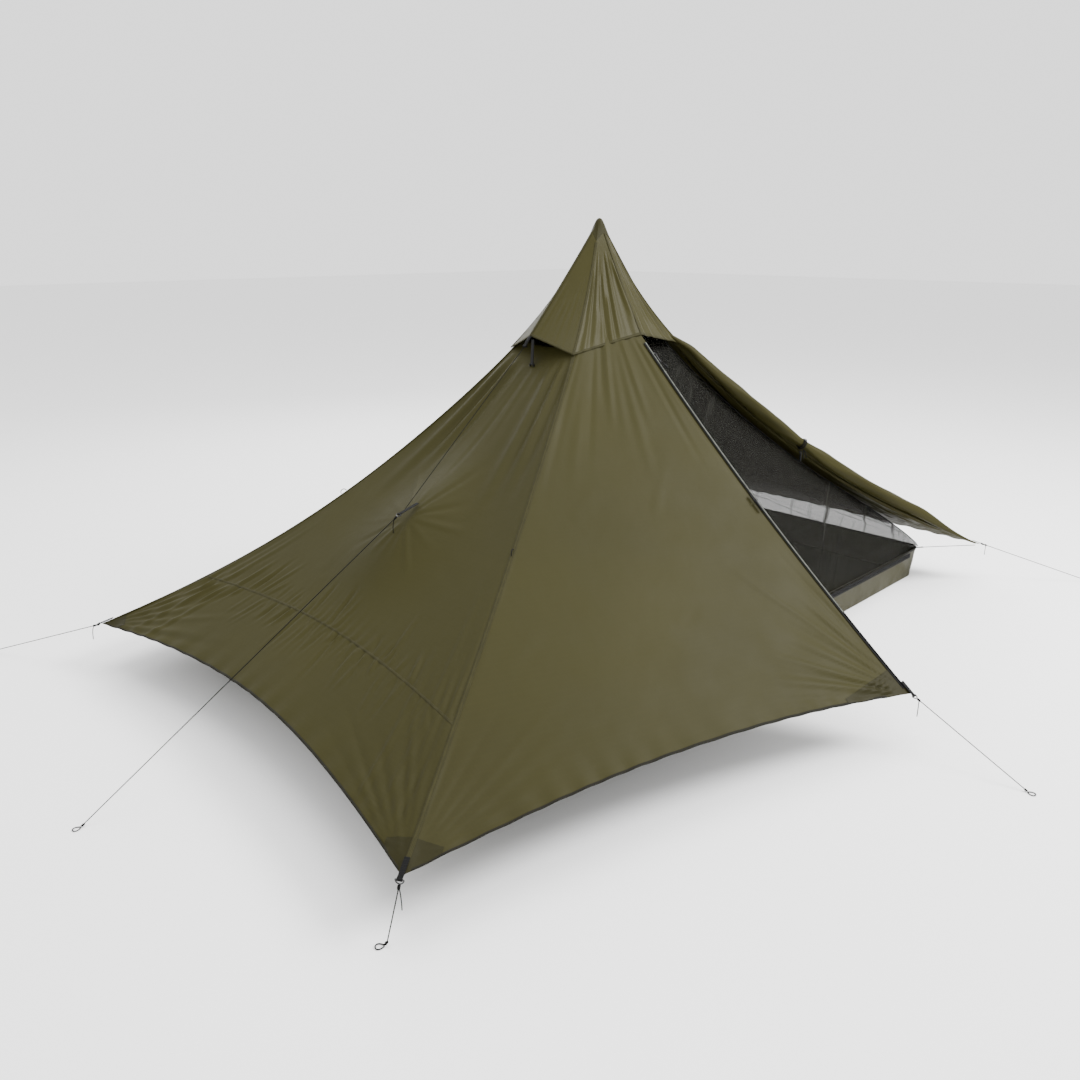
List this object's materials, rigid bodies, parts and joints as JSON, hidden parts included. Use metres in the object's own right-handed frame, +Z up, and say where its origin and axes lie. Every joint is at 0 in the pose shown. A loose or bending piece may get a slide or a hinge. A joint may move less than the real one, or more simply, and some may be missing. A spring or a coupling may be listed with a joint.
{
  "type": "trekking tent",
  "caption": "Centre-pole pyramid tent with a six-cornered fly, rolled-back zipped door, two hooded vents, mesh inner tent with bathtub floor, telescopic pole and guylines.",
  "frame": {"origin": "on the ground under the peak, at the centre of the fly", "axes": "+X along the long side, away from the end with the guyed hood cord; -Y towards the zipped door; +Z up"},
  "size_m": [3.5785, 2.7855, 1.403],
  "materials": {
    "fly_fabric": "satin",
    "cap_fabric": "satin",
    "crown_fabric": "satin",
    "mesh": "matte",
    "tub_fabric": "satin",
    "patch_fabric": "matte",
    "binding": "matte",
    "webbing": "matte",
    "zip_tape": "matte",
    "zip_metal": "satin",
    "pole_alloy": "satin",
    "pole_plastic": "matte",
    "ring_plastic": "gloss",
    "cord": "matte",
    "elastic": "matte",
    "black_plastic": "matte"
  },
  "bodies": {
    "tent": {"corner_webbing": "webbing", "door_roll": "fly_fabric", "door_tie": "elastic", "fly_panel_front": "fly_fabric", "fly_panel_left": "fly_fabric", "fly_panel_rear_left": "fly_fabric", "fly_panel_rear_right": "fly_fabric", "fly_panel_right": "fly_fabric", "fly_zip_track": "zip_tape", "groundsheet": "tub_fabric", "guyline_door": "cord", "guyline_front_left": "cord", "guyline_front_right": "cord", "guyline_knots": "cord", "guyline_peg_eyes": "cord", "guyline_rear_left": "cord", "guyline_rings": "ring_plastic", "guyline_side": "cord", "hem_binding": "binding", "hood_cord_left": "cord", "inner_corner_cord": "cord", "inner_mesh_front": "mesh", "inner_mesh_left": "mesh", "inner_mesh_rear": "mesh", "inner_mesh_right": "mesh", "inner_peak_patch": "patch_fabric", "inner_zip_track": "zip_tape", "peak_cap": "cap_fabric", "peak_crown": "crown_fabric", "pole_clamp_lower": "pole_plastic", "pole_cup": "pole_plastic", "pole_foot": "pole_plastic", "pole_lower": "pole_alloy", "pole_pad": "patch_fabric", "prop_brackets": "black_plastic", "pull_out_tabs": "webbing", "ridge_loops": "webbing", "spare_toggle_tab": "webbing", "tub_hooks": "black_plastic", "vent_hood_left": "cap_fabric", "vent_hood_right": "cap_fabric", "vent_meshes": "mesh"},
    "fly_slider": {"fly_zip_slider": "zip_metal"},
    "fly_pull": {"fly_zip_pull": "zip_metal"},
    "inner_slider": {"inner_zip_slider": "zip_metal"},
    "inner_pull": {"inner_zip_pull": "zip_metal"},
    "pole_middle_section": {"pole_middle": "pole_alloy", "pole_clamp_upper": "pole_plastic"},
    "pole_upper_section": {"pole_upper": "pole_alloy", "pole_tip": "pole_plastic"},
    "lever_lower": {"pole_lever_lower": "pole_plastic"},
    "lever_upper": {"pole_lever_upper": "pole_plastic"},
    "prop_left": {"vent_prop_left": "black_plastic"},
    "prop_right": {"vent_prop_right": "black_plastic"},
    "d_ring_rear_right": {"ring_rear_right": "ring_plastic"},
    "d_ring_rear": {"ring_rear": "ring_plastic"},
    "d_ring_pull_out": {"ring_pull_out": "ring_plastic"},
    "toggle_door": {"door_toggle": "black_plastic"},
    "toggle_spare": {"spare_toggle": "black_plastic"}
  },
  "joints": [
    {"name": "fly_zip_travel", "type": "hinge", "parent": "tent", "child": "fly_slider", "pos_m": [0, -7.32259, 8.05847], "axis": [-1, 0, 0], "range_deg": [0, 6.7]},
    {"name": "fly_pull_swing", "type": "hinge", "parent": "fly_slider", "child": "fly_pull", "pos_m": [0, -0.25366, 0.99318], "axis": [-1, 0, 0], "range_deg": [0, 150]},
    {"name": "inner_zip_travel", "type": "slide", "parent": "tent", "child": "inner_slider", "axis": [1, 0, 0], "range_m": [0, 2.27]},
    {"name": "inner_pull_swing", "type": "hinge", "parent": "inner_slider", "child": "inner_pull", "pos_m": [-1.085, -0.6461, 0.1106], "axis": [-1, 0, 0], "range_deg": [0, 120]},
    {"name": "pole_middle_slide", "type": "slide", "parent": "tent", "child": "pole_middle_section", "axis": [0, 0, 1], "range_m": [-0.36, 0]},
    {"name": "pole_upper_slide", "type": "slide", "parent": "pole_middle_section", "child": "pole_upper_section", "axis": [0, 0, 1], "range_m": [-0.4, 0]},
    {"name": "lever_lower_swing", "type": "hinge", "parent": "tent", "child": "lever_lower", "pos_m": [0.016, -0.009, 0.547], "axis": [0, 0, 1], "range_deg": [-110, 0]},
    {"name": "lever_upper_swing", "type": "hinge", "parent": "pole_middle_section", "child": "lever_upper", "pos_m": [0.0147, -0.009, 0.987], "axis": [0, 0, 1], "range_deg": [-110, 0]},
    {"name": "prop_left_fold", "type": "hinge", "parent": "tent", "child": "prop_left", "pos_m": [-0.30072, 0, 0.96504], "axis": [0, 1, 0], "range_deg": [0, 40]},
    {"name": "prop_right_fold", "type": "hinge", "parent": "tent", "child": "prop_right", "pos_m": [0.30072, 0, 0.96504], "axis": [0, 1, 0], "range_deg": [-40, 0]},
    {"name": "ring_rear_right_swing", "type": "hinge", "parent": "tent", "child": "d_ring_rear_right", "pos_m": [1.44878, 0.83772, 0.1544], "axis": [0.5455, -0.8381, 0], "range_deg": [-25, 60]},
    {"name": "ring_rear_swing", "type": "hinge", "parent": "tent", "child": "d_ring_rear", "pos_m": [0, 1.20586, 0.15138], "axis": [1, 0, 0], "range_deg": [-25, 60]},
    {"name": "ring_pull_out_swing", "type": "hinge", "parent": "tent", "child": "d_ring_pull_out", "pos_m": [0.8319, 0, 0.58207], "axis": [0, 1, 0], "range_deg": [-30, 30]},
    {"name": "toggle_door_swing", "type": "hinge", "parent": "tent", "child": "toggle_door", "pos_m": [0.694, -0.40353, 0.5848], "axis": [0.8725, -0.4886, 0], "range_deg": [-30, 30]},
    {"name": "toggle_spare_lift", "type": "hinge", "parent": "tent", "child": "toggle_spare", "pos_m": [-0.019, -0.67407, 0.59742], "axis": [-1, 0, 0], "range_deg": [0, 60]}
  ]
}
